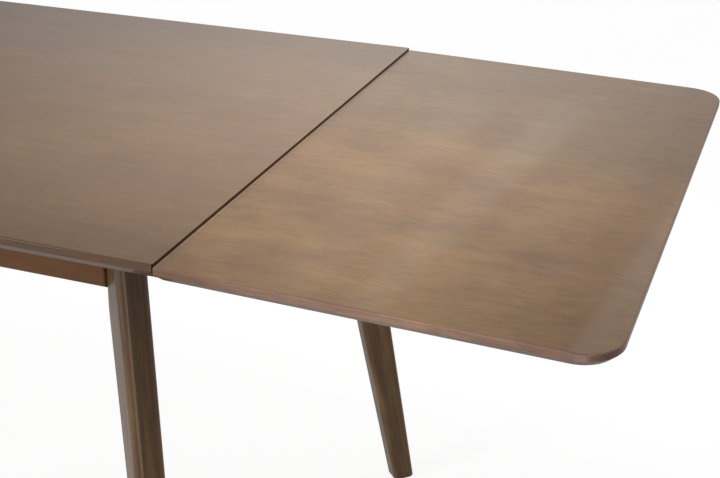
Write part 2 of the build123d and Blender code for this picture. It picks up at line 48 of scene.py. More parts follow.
UNDERSIDE_Z = 0.737
MAIN_LENGTH = 1.2
TABLE_MIDDLE_X = SEAM_X - MAIN_LENGTH / 2

# Slopes of the splayed legs, per metre of drop below the top, and how closely their grain is packed.
LEG_LEAN_X = math.tan(math.radians(6.5))
LEG_LEAN_Y = math.tan(math.radians(8.6))
LEG_GRAIN = 4.0

# The camera, fitted to the straight edges of the tops.
PHOTO_WIDTH = 720
FOCAL_PIXELS = 1282.9
SENSOR_WIDTH = 36.0
CAMERA_YAW = 0.3618
CAMERA_PITCH = 0.4424
CAMERA_ROLL = 0.0054
CAMERA_PLACE = (SEAM_X + 0.5651, -1.3151, TOP_Z + 0.5393)


def node(tree, kind, values=None, **settings):
    """A shader node with its settings, and its inputs set or joined to sockets."""
    made = tree.nodes.new(kind)
    for name, value in settings.items():
        setattr(made, name, value)
    for name, value in (values or {}).items():
        if isinstance(value, bpy.types.NodeSocket):
            tree.links.new(value, made.inputs[name])
        else:
            made.inputs[name].default_value = value
    return made


def calc(tree, operation, *values):
    """One step of arithmetic on sockets and numbers."""
    return node(tree, "ShaderNodeMath", dict(enumerate(values)), operation=operation).outputs[0]


def ramp(tree, value, low, high, from_low=0.0, from_high=1.0):
    """A value taken smoothly from one range to another."""
    made = node(
        tree,
        "ShaderNodeMapRange",
        {"Value": value, "From Min": low, "From Max": high, "To Min": from_low, "To Max": from_high},
        interpolation_type="SMOOTHSTEP",
    )
    return made.outputs["Result"]


def tint(tree, factor, first, second, how="MIX"):
    """Two colours laid over each other."""
    made = node(tree, "ShaderNodeMix", {0: factor, 6: first, 7: second}, data_type="RGBA", blend_type=how)
    return made.outputs[2]


def stretched(tree, vector, per_metre):
    """A pattern's own stretch along, across and into the grain."""
    return node(tree, "ShaderNodeVectorMath", {0: vector, 1: per_metre}, operation="MULTIPLY").outputs[0]


def object_place(tree):
    """The place on the piece, as a vector."""
    return node(tree, "ShaderNodeTexCoord").outputs["Object"]


def split(tree, vector):
    """A vector's three parts."""
    return node(tree, "ShaderNodeSeparateXYZ", {0: vector}).outputs


def surface_facing(tree):
    """The three parts of the way a surface faces."""
    return split(tree, node(tree, "ShaderNodeTexCoord").outputs["Normal"])


def grey(tree, value):
    """A value as a grey colour."""
    return node(tree, "ShaderNodeCombineColor", {0: value, 1: value, 2: value}).outputs[0]


def noise(tree, vector, detail, roughness=0.5, distortion=0.0):
    """Soft random tones between 0 and 1."""
    made = node(
        tree,
        "ShaderNodeTexNoise",
        {"Vector": vector, "Scale": 1.0, "Detail": detail, "Roughness": roughness, "Distortion": distortion},
    )
    return made.outputs["Fac"]


def new_group(name, inputs, outputs):
    """An empty node group with its sockets."""
    tree = bpy.data.node_groups.new(name, "ShaderNodeTree")
    for label, kind in inputs:
        tree.interface.new_socket(name=label, in_out="INPUT", socket_type="NodeSocket" + kind)
    for label, kind in outputs:
        tree.interface.new_socket(name=label, in_out="OUTPUT", socket_type="NodeSocket" + kind)
    return tree, tree.nodes.new("NodeGroupInput").outputs, tree.nodes.new("NodeGroupOutput").inputs


# How often each of the wood's patterns repeats in a metre, along, across and into the grain.
STREAKS_PER_METRE = (7, 60, 60)
FIBRES_PER_METRE = (48, 380, 380)
PORES_PER_METRE = (26, 900, 900)
BLOTCHES_PER_METRE = (7, 13, 13)
FIGURE_PER_METRE = (30, 11, 11)
MOTTLE_PER_METRE = (30, 75, 75)

# The glued staves, in metres, how far each row is set along, and how far apart their grain is taken.
STAVE_LENGTH = 0.52
STAVE_WIDTH = 0.064
STAVE_SET_ALONG = 0.37
STAVE_GRAIN_SHIFT = 7.0

# Which part of the blotches is golden, which part of the pores is dark, and how dark.
GOLDEN_FROM, GOLDEN_FULL = 0.28, 0.74
PORE_FROM, PORE_FULL = 0.64, 0.74
PORE_DARKNESS = 0.55

# The lacquer's roughness and relief over the fibres and pores.
LACQUER_ROUGHNESS = 0.33
FIBRE_ROUGHNESS = 0.10
FIBRE_RELIEF = 0.4
PORE_RELIEF = -0.6
RELIEF_STRENGTH = 0.12
RELIEF_DEPTH = 0.0003


def make_stained_wood():
    """Fine straight-grained wood in glued staves, under an uneven brown stain."""
    inputs = [
        ("Grain Vector", "Vector"),
        ("Stain", "Color"),
        ("Golden", "Color"),
        ("Pore", "Color"),
        ("Blotch", "Float"),
        ("Stave", "Float"),
        ("Streak", "Float"),
        ("Figure", "Float"),
        ("Fibre", "Float"),
        ("Mottle", "Float"),
    ]
    outputs = [("Color", "Color"), ("Roughness", "Float"), ("Height", "Float")]
    tree, given, result = new_group("stained_wood", inputs, outputs)
    vector = given["Grain Vector"]
    staves = node(
        tree,
        "ShaderNodeTexBrick",
        {
            "Vector": vector,
            "Color1": (0, 0, 0, 1),
            "Color2": (1, 1, 1, 1),
            "Mortar": (0.5, 0.5, 0.5, 1),
            "Scale": 1.0,
            "Mortar Size": 0.0,
            "Brick Width": STAVE_LENGTH,
            "Row Height": STAVE_WIDTH,
        },
        offset=STAVE_SET_ALONG,
    )
    stave_tone = node(tree, "ShaderNodeSeparateColor", {0: staves.outputs["Color"]}).outputs[0]
    shift_along = calc(tree, "MULTIPLY", stave_tone, STAVE_GRAIN_SHIFT)
    shift = node(tree, "ShaderNodeCombineXYZ", {0: shift_along}).outputs[0]
    own_place = node(tree, "ShaderNodeVectorMath", {0: vector, 1: shift}, operation="ADD").outputs[0]
    streaks = noise(tree, stretched(tree, vector, STREAKS_PER_METRE), 3.0, 0.6, 0.3)
    fibres = noise(tree, stretched(tree, own_place, FIBRES_PER_METRE), 3.0, 0.6)
    pores = noise(tree, stretched(tree, own_place, PORES_PER_METRE), 2.0, 0.5)
    blotches = noise(tree, stretched(tree, vector, BLOTCHES_PER_METRE), 4.0, 0.55, 0.3)
    figure = noise(tree, stretched(tree, vector, FIGURE_PER_METRE), 2.0, 0.5, 0.5)
    mottle = noise(tree, stretched(tree, vector, MOTTLE_PER_METRE), 3.0, 0.6, 0.6)
    golden = calc(tree, "MULTIPLY", ramp(tree, blotches, GOLDEN_FROM, GOLDEN_FULL), given["Blotch"])
    colour = tint(tree, golden, given["Stain"], given["Golden"])
    tone = 1.0
    for pattern, label in (
        (stave_tone, "Stave"),
        (streaks, "Streak"),
        (fibres, "Fibre"),
        (figure, "Figure"),
        (mottle, "Mottle"),
    ):
        tone = calc(tree, "MULTIPLY_ADD", calc(tree, "SUBTRACT", pattern, 0.5), given[label], tone)
    colour = tint(tree, 1.0, colour, grey(tree, tone), "MULTIPLY")
    dark = ramp(tree, pores, PORE_FROM, PORE_FULL, 0.0, PORE_DARKNESS)
    colour = tint(tree, dark, colour, given["Pore"])
    roughness = calc(tree, "MULTIPLY_ADD", fibres, FIBRE_ROUGHNESS, LACQUER_ROUGHNESS)
    height = calc(tree, "MULTIPLY_ADD", dark, PORE_RELIEF, calc(tree, "MULTIPLY", fibres, FIBRE_RELIEF))
    tree.links.new(colour, result["Color"])
    tree.links.new(roughness, result["Roughness"])
    tree.links.new(height, result["Height"])
    return tree


stained_wood = make_stained_wood()


def new_finish(name):
    """An empty material with its surface shader."""
    made = bpy.data.materials.new(name)
    made.use_nodes = True
    surface = made.node_tree.nodes["Principled BSDF"]
    return made, made.node_tree, surface


def make_edge_tones_and_painted_light():
    """The tones of a board's sides, lower bevels, top arrises and end grain over the stain, through which the
    finishes also paint highlights on arrises and shade on ends.
    """
    inputs = [(label, "Color") for label in ("Color", "Sides", "Bevels", "Arrises", "Ends")]
    tree, given, result = new_group("edge_tones_and_painted_light", inputs, [("Color", "Color")])
    facing = surface_facing(tree)
    # Each mask goes by how far a face tips up or down, and the ends' by how far it faces along the table.
    side = ramp(tree, calc(tree, "ABSOLUTE", facing[2]), 0.60, 0.35)
    bevel = calc(tree, "MULTIPLY", ramp(tree, facing[2], -0.35, -0.60), ramp(tree, facing[2], -0.90, -0.75))
    arris = calc(tree, "MULTIPLY", ramp(tree, facing[2], 0.15, 0.45), ramp(tree, facing[2], 0.97, 0.80))
    end = calc(tree, "MULTIPLY", ramp(tree, calc(tree, "ABSOLUTE", facing[0]), 0.30, 0.85), side)
    colour = given["Color"]
    for mask, label in ((side, "Sides"), (bevel, "Bevels"), (arris, "Arrises"), (end, "Ends")):
        colour = tint(tree, mask, colour, given[label], "MULTIPLY")
    tree.links.new(colour, result["Color"])
    return tree


edge_tones_and_painted_light = make_edge_tones_and_painted_light()


def lacquered_wood(name, stain, grain, edges=None):
    """Stained wood under satin lacquer, its grain along one direction, with its edges' tones and painted
    light.
    """
    made, tree, surface = new_finish(name)
    wood = node(tree, "ShaderNodeGroup", node_tree=stained_wood)
    tree.links.new(grain(tree), wood.inputs["Grain Vector"])
    for label, value in stain.items():
        wood.inputs[label].default_value = (*value, 1.0) if isinstance(value, tuple) else value
    colour = wood.outputs["Color"]
    if edges:
        edge_toned = node(tree, "ShaderNodeGroup", node_tree=edge_tones_and_painted_light)
        tree.links.new(colour, edge_toned.inputs["Color"])
        for label, value in edges.items():
            edge_toned.inputs[label].default_value = (*value, 1.0)
        colour = edge_toned.outputs["Color"]
    tree.links.new(colour, surface.inputs["Base Color"])
    tree.links.new(wood.outputs["Roughness"], surface.inputs["Roughness"])
    bump = node(
        tree,
        "ShaderNodeBump",
        {"Height": wood.outputs["Height"], "Strength": RELIEF_STRENGTH, "Distance": RELIEF_DEPTH},
    )
    tree.links.new(bump.outputs["Normal"], surface.inputs["Normal"])
    return made


def set_shine(finish, wood, coat=0.0, coat_roughness=0.1):
    """How much the wood itself shines, and the thin hard coat of clear lacquer over it."""
    surface = finish.node_tree.nodes["Principled BSDF"]
    surface.inputs["Specular IOR Level"].default_value = wood
    surface.inputs["Coat Weight"].default_value = coat
    surface.inputs["Coat Roughness"].default_value = coat_roughness


def along_x(tree):
    """Grain along the table's length."""
    return object_place(tree)


def along_y(tree):
    """Grain across the table."""
    apart = split(tree, object_place(tree))
    return node(tree, "ShaderNodeCombineXYZ", {0: apart[1], 1: apart[0], 2: apart[2]}).outputs[0]


def along_legs(tree):
    """Grain down each splayed leg."""
    apart = split(tree, object_place(tree))
    drop = calc(tree, "SUBTRACT", UNDERSIDE_Z, apart[2])
    from_middle = calc(tree, "SUBTRACT", apart[0], TABLE_MIDDLE_X)
    lean_x = calc(tree, "MULTIPLY", calc(tree, "SIGN", from_middle), calc(tree, "MULTIPLY", drop, LEG_LEAN_X))
    lean_y = calc(tree, "MULTIPLY", calc(tree, "SIGN", apart[1]), calc(tree, "MULTIPLY", drop, LEG_LEAN_Y))
    across = calc(tree, "MULTIPLY", calc(tree, "SUBTRACT", apart[0], lean_x), LEG_GRAIN)
    deep = calc(tree, "MULTIPLY", calc(tree, "SUBTRACT", apart[1], lean_y), LEG_GRAIN)
    return node(tree, "ShaderNodeCombineXYZ", {0: apart[2], 1: across, 2: deep}).outputs[0]


# Each stain: its two colours and its pores' colour, then how strongly each pattern shows.
MAIN_STAIN = {
    "Stain": (0.192, 0.110, 0.058),
    "Golden": (0.221, 0.129, 0.064),
    "Pore": (0.075, 0.042, 0.026),
    "Blotch": 0.7,
    "Stave": 0.02,
    "Streak": 0.26,
    "Figure": 0.10,
    "Fibre": 0.36,
    "Mottle": 0.14,
}
LEAF_STAIN = {
    "Stain": (0.197, 0.110, 0.054),
    "Golden": (0.261, 0.152, 0.064),
    "Pore": (0.085, 0.048, 0.030),
    "Stave": 0.03,
    "Streak": 0.30,
    "Figure": 0.14,
    "Fibre": 0.60,
    "Mottle": 0.34,
}
APRON_STAIN = {
    "Stain": (0.170, 0.082, 0.040),
    "Golden": (0.192, 0.096, 0.047),
    "Pore": (0.065, 0.034, 0.020),
    "Blotch": 0.6,
    "Stave": 0.0,
    "Streak": 0.35,
    "Figure": 0.05,
    "Fibre": 0.30,
    "Mottle": 0.0,
}
LEG_STAIN = {
    "Stain": (0.140, 0.073, 0.034),
    "Golden": (0.250, 0.148, 0.056),
    "Pore": (0.055, 0.030, 0.017),
    "Blotch": 1.0,
    "Stave": 0.0,
    "Streak": 0.85,
    "Figure": 0.12,
    "Fibre": 0.30,
    "Mottle": 0.0,
}
BARE_WOOD = {
    "Stain": (0.52, 0.37, 0.22),
    "Golden": (0.58, 0.42, 0.25),
    "Pore": (0.30, 0.19, 0.11),
    "Blotch": 0.8,
    "Stave": 0.1,
    "Streak": 0.35,
    "Figure": 0.06,
    "Fibre": 0.30,
    "Mottle": 0.0,
}
# Edge tones over the stain. The main top's dark ends are end grain and painted shade for the narrow gap at
# the seam, and both its ends take them.
MAIN_EDGES = {
    "Sides": (0.90, 0.86, 0.95),
    "Bevels": (0.76, 0.50, 0.46),
    "Arrises": (0.95, 0.95, 1.0),
    "Ends": (0.25, 0.22, 0.20),
}
# The leaf's sides and bevels are lighter and greyer, and a painted highlight lies along its top arrises.
LEAF_EDGES = {
    "Sides": (1.72, 1.80, 2.70),
    "Bevels": (1.05, 1.00, 1.40),
    "Arrises": (1.60, 1.65, 2.40),
    "Ends": (0.55, 0.53, 0.52),
}

# The main top's painted shade towards its long edges: from and to where off the middle line, and its tint.
EDGE_SHADE_FROM_Y, EDGE_SHADE_TO_Y = 0.20, 0.375
EDGE_SHADE_TINT = (0.84, 0.84, 0.86, 1.0)

# The leaf's golden blotches fade towards its back and its outer end, to these shares.
BLOTCH_BACK_Y, BLOTCH_FRONT_Y = 0.12, 0.02
BLOTCH_BACK_SHARE = 0.45
BLOTCH_END_X, BLOTCH_FULL_X = 0.81, 0.70
BLOTCH_END_SHARE = 0.3

# The leaf's plainer back half.
BACK_FROM_Y, BACK_FULL_Y = -0.02, 0.10
BACK_TINT = (0.89, 0.93, 0.98, 1.0)

# The paler patch towards the leaf's front: its middle, how far it reaches, and its tint.
PALE_PATCH = (0.57, -0.33, TOP_Z)
PALE_REACH, PALE_FULL = 0.20, 0.05
PALE_TINT = (1.19, 1.21, 1.24, 1.0)

# A painted highlight lies along the leaf's upper edge by the seam, and its sides are darker near it.
SEAM_HIGHLIGHT_END_X, SEAM_HIGHLIGHT_FULL_X = SEAM_X + 0.0042, SEAM_X + 0.0022
SEAM_HIGHLIGHT_TINT = (1.35, 1.55, 2.3, 1.0)
DARK_SIDE_END_X, DARK_SIDE_FULL_X = SEAM_X + 0.17, SEAM_X + 0.01
DARK_SIDE_TINT = (0.70, 0.66, 0.60, 1.0)

# Painted shade darkens the legs just under the top, and a painted greyish highlight lies on faces turned
# square to the table's length or width, chiefly their rounded corners.
SHADE_FROM_Z, SHADE_FULL_Z = 0.42, 0.72
SHADE_TINT = (0.66, 0.66, 0.70, 1.0)
CORNER_HIGHLIGHT_SHARE = 0.5
CORNER_HIGHLIGHT_TINT = (1.25, 1.22, 1.55, 1.0)


def base_colour(made):
    """A finish's colour socket, and what it takes its colour from."""
    base = made.node_tree.nodes["Principled BSDF"].inputs["Base Color"]
    return base, base.links[0].from_socket


def main_lacquer():
    """The main top's finish, with painted shade darkening it towards its two long edges."""
    made = lacquered_wood("main_top_lacquer", MAIN_STAIN, along_x, MAIN_EDGES)
    tree = made.node_tree
    base, colour = base_colour(made)
    place = split(tree, object_place(tree))
    # Painted shade, darker towards both long edges.
    edge_shade = ramp(tree, calc(tree, "ABSOLUTE", place[1]), EDGE_SHADE_FROM_Y, EDGE_SHADE_TO_Y)
    tree.links.new(tint(tree, edge_shade, colour, EDGE_SHADE_TINT, "MULTIPLY"), base)
    return made


def leaf_lacquer():
    """The leaf's finish: golden at the front, plainer and redder towards the back."""
    made = lacquered_wood("leaf_lacquer", LEAF_STAIN, along_x, LEAF_EDGES)
    tree = made.node_tree
    base, colour = base_colour(made)
    whole_place = object_place(tree)
    place = split(tree, whole_place)
    upward = surface_facing(tree)[2]
    wood = next(part for part in tree.nodes if part.type == "GROUP" and part.node_tree == stained_wood)
    towards_front = ramp(tree, place[1], BLOTCH_BACK_Y, BLOTCH_FRONT_Y, BLOTCH_BACK_SHARE, 1.0)
    off_the_end = ramp(tree, place[0], BLOTCH_END_X, BLOTCH_FULL_X, BLOTCH_END_SHARE, 1.0)
    tree.links.new(calc(tree, "MULTIPLY", towards_front, off_the_end), wood.inputs["Blotch"])
    from_patch = node(tree, "ShaderNodeVectorMath", {0: whole_place, 1: PALE_PATCH}, operation="DISTANCE")
    # Painted highlight on the upper surface along the seam.
    by_seam = ramp(tree, place[0], SEAM_HIGHLIGHT_END_X, SEAM_HIGHLIGHT_FULL_X)
    seam_highlight = calc(tree, "MULTIPLY", by_seam, ramp(tree, upward, 0.6, 0.9))
    towards_seam = ramp(tree, place[0], DARK_SIDE_END_X, DARK_SIDE_FULL_X)
    dark_side = calc(tree, "MULTIPLY", towards_seam, ramp(tree, upward, 0.9, 0.5))
    for mask, over in (
        (ramp(tree, place[1], BACK_FROM_Y, BACK_FULL_Y), BACK_TINT),
        (ramp(tree, from_patch.outputs["Value"], PALE_REACH, PALE_FULL), PALE_TINT),
        (seam_highlight, SEAM_HIGHLIGHT_TINT),
        (dark_side, DARK_SIDE_TINT),
    ):
        colour = tint(tree, mask, colour, over, "MULTIPLY")
    tree.links.new(colour, base)
    return made


def leg_lacquer():
    """The legs' finish, with painted shade just under the top and a painted greyish highlight along the
    rounded corners.
    """
    made = lacquered_wood("leg_lacquer", LEG_STAIN, along_legs)
    tree = made.node_tree
    base, colour = base_colour(made)
    facing = surface_facing(tree)
    height = split(tree, object_place(tree))[2]
    turned = calc(tree, "MAXIMUM", calc(tree, "ABSOLUTE", facing[0]), calc(tree, "ABSOLUTE", facing[1]))
    # Painted highlight on faces turned square to the table's length or width, chiefly the rounded corners.
    corner_highlight = ramp(tree, turned, 0.80, 0.95, 0.0, CORNER_HIGHLIGHT_SHARE)
    colour = tint(tree, corner_highlight, colour, CORNER_HIGHLIGHT_TINT, "MULTIPLY")
    # Painted shade just under the top.
    colour = tint(tree, ramp(tree, height, SHADE_FROM_Z, SHADE_FULL_Z), colour, SHADE_TINT, "MULTIPLY")
    tree.links.new(colour, base)
    return made


main_finish = main_lacquer()
leaf_finish = leaf_lacquer()
leg_finish = leg_lacquer()
apron_finish = lacquered_wood("apron_lacquer", APRON_STAIN, along_x)
end_apron_finish = lacquered_wood("end_apron_lacquer", APRON_STAIN, along_y)
bare_wood = lacquered_wood("bare_rubberwood", BARE_WOOD, along_y)
for top_finish in (main_finish, leaf_finish):
    set_shine(top_finish, wood=0.12, coat=0.4, coat_roughness=0.06)
for frame_finish in (apron_finish, end_apron_finish):
    set_shine(frame_finish, wood=0.08)
set_shine(leg_finish, wood=0.05, coat=0.6, coat_roughness=0.20)
set_shine(bare_wood, wood=0.28)


# How often the steel's rolled grain and dull spots, and the nylon's mottle, repeat in a metre.
ROLLED_PER_METRE = (90, 900, 900)
DULL_PER_METRE = (60, 60, 60)
NYLON_PER_METRE = (400, 400, 400)
DULLEST = 0.82
ROLLED_ROUGHNESS = 0.14


def make_rolled_plate():
    """The fine rolled grain and the dull spots of plated steel sheet."""
    inputs = [("Color", "Color"), ("Roughness", "Float")]
    outputs = [("Color", "Color"), ("Roughness", "Float")]
    tree, given, result = new_group("rolled_plate", inputs, outputs)
    place = object_place(tree)
    rolled = noise(tree, stretched(tree, place, ROLLED_PER_METRE), 2.0)
    dull = noise(tree, stretched(tree, place, DULL_PER_METRE), 3.0)
    shade = grey(tree, ramp(tree, dull, 0.3, 0.7, DULLEST, 1.0))
    tree.links.new(tint(tree, 1.0, given["Color"], shade, "MULTIPLY"), result["Color"])
    uneven = calc(tree, "MULTIPLY_ADD", rolled, ROLLED_ROUGHNESS, given["Roughness"])
    tree.links.new(uneven, result["Roughness"])
    return tree


rolled_plate = make_rolled_plate()


def plated_steel(name, colour, roughness):
    """Zinc-plated steel."""
    made, tree, surface = new_finish(name)
    plate = node(tree, "ShaderNodeGroup", node_tree=rolled_plate)
    plate.inputs["Color"].default_value = (*colour, 1.0)
    plate.inputs["Roughness"].default_value = roughness
    tree.links.new(plate.outputs["Color"], surface.inputs["Base Color"])
    tree.links.new(plate.outputs["Roughness"], surface.inputs["Roughness"])
    surface.inputs["Metallic"].default_value = 1.0
    return made


sheet_steel = plated_steel("pressed_sheet_steel", (0.52, 0.52, 0.53), 0.34)
bright_zinc = plated_steel("bright_zinc_plate", (0.66, 0.66, 0.68), 0.24)


def moulded_nylon(name, colour):
    """Dark moulded plastic with a slight mottle."""
    made, tree, surface = new_finish(name)
    mottle = noise(tree, stretched(tree, object_place(tree), NYLON_PER_METRE), 2.0)
    colours = tint(tree, ramp(tree, mottle, 0.3, 0.7), (*colour, 1.0), (*[c * 1.5 for c in colour], 1.0))
    tree.links.new(colours, surface.inputs["Base Color"])
    tree.links.new(calc(tree, "MULTIPLY_ADD", mottle, 0.2, 0.4), surface.inputs["Roughness"])
    return made


glide_nylon = moulded_nylon("glide_nylon", (0.03, 0.026, 0.022))

slot_finishes = {
    "tabletop_wood": main_finish,
    "frame_wood": apron_finish,
    "leg_wood": leg_finish,
    "raw_wood": bare_wood,
    "hardware_steel": sheet_steel,
    "zinc_steel": bright_zinc,
    "glide_plastic": glide_nylon,
}
own_finishes = {"leaf": leaf_finish, "right_end_apron": end_apron_finish, "left_end_apron": end_apron_finish}
for subpart in frame["record"]["subparts"]:
    node_name = subpart["node"]
    slots = frame["nodes"][node_name].data.materials
    slots.clear()
    slots.append(own_finishes.get(node_name, slot_finishes[subpart["material_slot"]]))


# Sizes of the small hardware, in metres.
SMALL_SCREW = {"shank": 0.00175, "head": 0.0035, "head_height": 0.002, "length": 0.012}
LONG_SCREW = {"shank": 0.0025, "head": 0.0045, "head_height": 0.0026, "length": 0.071}
SCREW_TIP = 0.004
SCREW_TIP_SHARE = 0.12
RECESS_DEPTH = 0.0011
RECESS_LENGTH_SHARE = 1.25
RECESS_WIDTH_SHARE = 0.34
RECESS_FLOOR_SHARE = 0.62
NUT_FLATS = 0.013
NUT_HEIGHT = 0.0065
NUT_CORNERS = 0.0142
NUT_BORE = 0.0081
NUT_CHAMFER = 0.0012
NUT_CHAMFER_ROOM = 0.0006
SPRING_WIRE = 0.001
SPRING_RADIUS = 0.00285
SPRING_PITCH = 0.00106
SPRING_TURNS = 5
SPRING_UP_LEG = 0.0094
SPRING_DOWN_LEG = 0.007
LEVER_PIVOT_X = SEAM_X - 0.0295
LEVER_PIVOT_Z = 0.725
LEVER_SIDE_PLAY = 0.0034
BRACKET_YS = (-0.15, 0.15)
LEAF_SAG = math.radians(1.0)
SMOOTH_BELOW = math.radians(35.0)
MERGE_WITHIN = 0.000002
NEAR_PLANE = 0.00001


def clear_selection():
    """Nothing selected, and out of edit mode."""
    if bpy.context.mode != "OBJECT":
        bpy.ops.object.mode_set(mode="OBJECT")
    bpy.ops.object.select_all(action="DESELECT")


def pick_vertices(piece, wanted):
    """In edit mode, only the vertices whose place is wanted are selected."""
    bpy.ops.object.mode_set(mode="OBJECT")
    bpy.ops.object.mode_set(mode="EDIT")
    bpy.ops.mesh.select_mode(type="VERT")
    bpy.ops.mesh.select_all(action="DESELECT")
    bpy.ops.object.mode_set(mode="OBJECT")
    for vertex in piece.data.vertices:
        vertex.select = wanted(vertex.co)
    bpy.ops.object.mode_set(mode="EDIT")


def carve(piece, cutter, operation):
    """One shape cut out of another, or kept only where both are."""
    joint = piece.modifiers.new("carve", "BOOLEAN")
    joint.operation = operation
    joint.solver = "EXACT"
    joint.object = cutter
    clear_selection()
    bpy.context.view_layer.objects.active = piece
    piece.select_set(True)
    bpy.ops.object.modifier_apply(modifier=joint.name)
    bpy.data.objects.remove(cutter, do_unlink=True)


def settle(piece):
    """A piece's place put into its mesh, doubles merged, faces outward, curved faces smooth."""
    clear_selection()
    bpy.context.view_layer.objects.active = piece
    piece.select_set(True)
    bpy.ops.object.transform_apply(location=True, rotation=True, scale=True)
    bpy.ops.object.mode_set(mode="EDIT")
    bpy.ops.mesh.select_all(action="SELECT")
    bpy.ops.mesh.remove_doubles(threshold=MERGE_WITHIN)
    bpy.ops.mesh.normals_make_consistent(inside=False)
    bpy.ops.object.mode_set(mode="OBJECT")
    bpy.ops.object.shade_smooth_by_angle(angle=SMOOTH_BELOW)


def make_cross_screw(shank, head, head_height, length):
    """A countersunk wood screw pointing up, its head face at Z = 0 with a cross recess."""
    clear_selection()
    middle = (0, 0, head_height / 2)
    bpy.ops.mesh.primitive_cylinder_add(vertices=20, radius=head, depth=head_height, location=middle)
    screw = bpy.context.object
    bpy.ops.object.transform_apply(location=True)
    pick_vertices(screw, lambda place: place.z > head_height * 0.5)
    bpy.ops.transform.resize(value=(shank / head, shank / head, 1.0))
    straight = length - head_height - SCREW_TIP
    bpy.ops.mesh.extrude_region_move(TRANSFORM_OT_translate={"value": (0, 0, straight)})
    bpy.ops.mesh.extrude_region_move(TRANSFORM_OT_translate={"value": (0, 0, SCREW_TIP)})
    bpy.ops.transform.resize(value=(SCREW_TIP_SHARE, SCREW_TIP_SHARE, 1.0))
    bpy.ops.object.mode_set(mode="OBJECT")
    slot_length = head * RECESS_LENGTH_SHARE
    slot_width = head * RECESS_WIDTH_SHARE
    for side_x, side_y in ((slot_length, slot_width), (slot_width, slot_length)):
        clear_selection()
        bpy.ops.mesh.primitive_cube_add(size=1.0, location=(0, 0, 0))
        slot = bpy.context.object
        slot.scale = (side_x, side_y, RECESS_DEPTH * 2)
        bpy.ops.object.transform_apply(location=False, rotation=False, scale=True)
        pick_vertices(slot, lambda place: place.z > 0)
        bpy.ops.transform.resize(value=(RECESS_FLOOR_SHARE, RECESS_FLOOR_SHARE, 1.0))
        bpy.ops.object.mode_set(mode="OBJECT")
        carve(screw, slot, "DIFFERENCE")
    settle(screw)
    return screw


def make_hex_nut():
    """A hexagon nut with chamfered corners and a plain bore, along Z."""
    clear_selection()
    corner_radius = NUT_FLATS / 2 / math.cos(math.pi / 6)
    bpy.ops.mesh.primitive_cylinder_add(vertices=6, radius=corner_radius, depth=NUT_HEIGHT)
    nut = bpy.context.object
    clear_selection()
    chamfer_radius = NUT_CORNERS / 2 + NUT_CHAMFER_ROOM
    bpy.ops.mesh.primitive_cylinder_add(vertices=36, radius=chamfer_radius, depth=NUT_HEIGHT)
    chamfer = bpy.context.object
    rounding = chamfer.modifiers.new("chamfer", "BEVEL")
    rounding.width = NUT_CHAMFER
    rounding.segments = 1
    rounding.limit_method = "ANGLE"
    rounding.angle_limit = math.radians(60.0)
    bpy.ops.object.modifier_apply(modifier=rounding.name)
    carve(nut, chamfer, "INTERSECT")
    clear_selection()
    bpy.ops.mesh.primitive_cylinder_add(vertices=24, radius=NUT_BORE / 2, depth=NUT_HEIGHT * 2)
    carve(nut, bpy.context.object, "DIFFERENCE")
    settle(nut)
    return nut


def wind_lock_spring():
    """A close-wound torsion spring on Y, one leg up to the base plate and one down beside the lever."""
    clear_selection()
    start = (-SPRING_RADIUS, SPRING_WIRE / 2, 0)
    bpy.ops.mesh.primitive_circle_add(vertices=10, radius=SPRING_WIRE / 2, location=start)
    spring = bpy.context.object
    bpy.ops.object.transform_apply(location=True)
    coil = spring.modifiers.new("coil", "SCREW")
    coil.axis = "Y"
    coil.angle = math.tau
    coil.screw_offset = SPRING_PITCH
    coil.iterations = SPRING_TURNS
    coil.steps = 20
    coil.render_steps = 20
    bpy.ops.object.modifier_apply(modifier=coil.name)
    far_end = SPRING_WIRE / 2 + SPRING_PITCH * SPRING_TURNS
    for end, leg in ((far_end, SPRING_UP_LEG), (SPRING_WIRE / 2, -SPRING_DOWN_LEG)):
        reach = SPRING_WIRE * 0.51
        pick_vertices(
            spring,
            lambda place: abs(place.z) < NEAR_PLANE and place.x < 0 and abs(place.y - end) < reach,
        )
        bpy.ops.mesh.extrude_region_move(TRANSFORM_OT_translate={"value": (0, 0, leg)})
        bpy.ops.mesh.edge_face_add()
        bpy.ops.object.mode_set(mode="OBJECT")
    settle(spring)
    return spring


def solids_of(name):
    """The lowest and highest corner of each separate solid in a CAD node."""
    shape = bmesh.new()
    shape.from_mesh(frame["nodes"][name].data)
    bmesh.ops.remove_doubles(shape, verts=shape.verts, dist=0.000001)
    left = set(shape.verts)
    found = []
    while left:
        reach = [left.pop()]
        points = []
        while reach:
            vertex = reach.pop()
            points.append(tuple(vertex.co))
            for edge in vertex.link_edges:
                other = edge.other_vert(vertex)
                if other in left:
                    left.discard(other)
                    reach.append(other)
        found.append((tuple(map(min, zip(*points))), tuple(map(max, zip(*points)))))
    shape.free()
    return [(Vector(low), Vector(high)) for low, high in sorted(found)]


def screw_place(low, high, tilt):
    """Where a screw's head face is, and the way the screw points."""
    middle = (low + high) / 2
    if high.z - low.z > high.y - low.y:
        return Matrix.Translation((middle.x, middle.y, low.z)) @ Matrix.Rotation(tilt, 4, "Y")
    outward = 1.0 if middle.y > 0 else -1.0
    head_y = low.y if middle.y > 0 else high.y
    return Matrix.Translation((middle.x, head_y, middle.z)) @ Matrix.Rotation(-outward * math.pi / 2, 4, "X")


def nut_place(low, high):
    """Where a leg nut is, its axis along the corner's diagonal."""
    middle = (low + high) / 2
    inward = Vector((1.0 if middle.x < TABLE_MIDDLE_X else -1.0, -1.0 if middle.y > 0 else 1.0, 0.0))
    return Matrix.Translation(middle) @ inward.to_track_quat("Z", "Y").to_matrix().to_4x4()


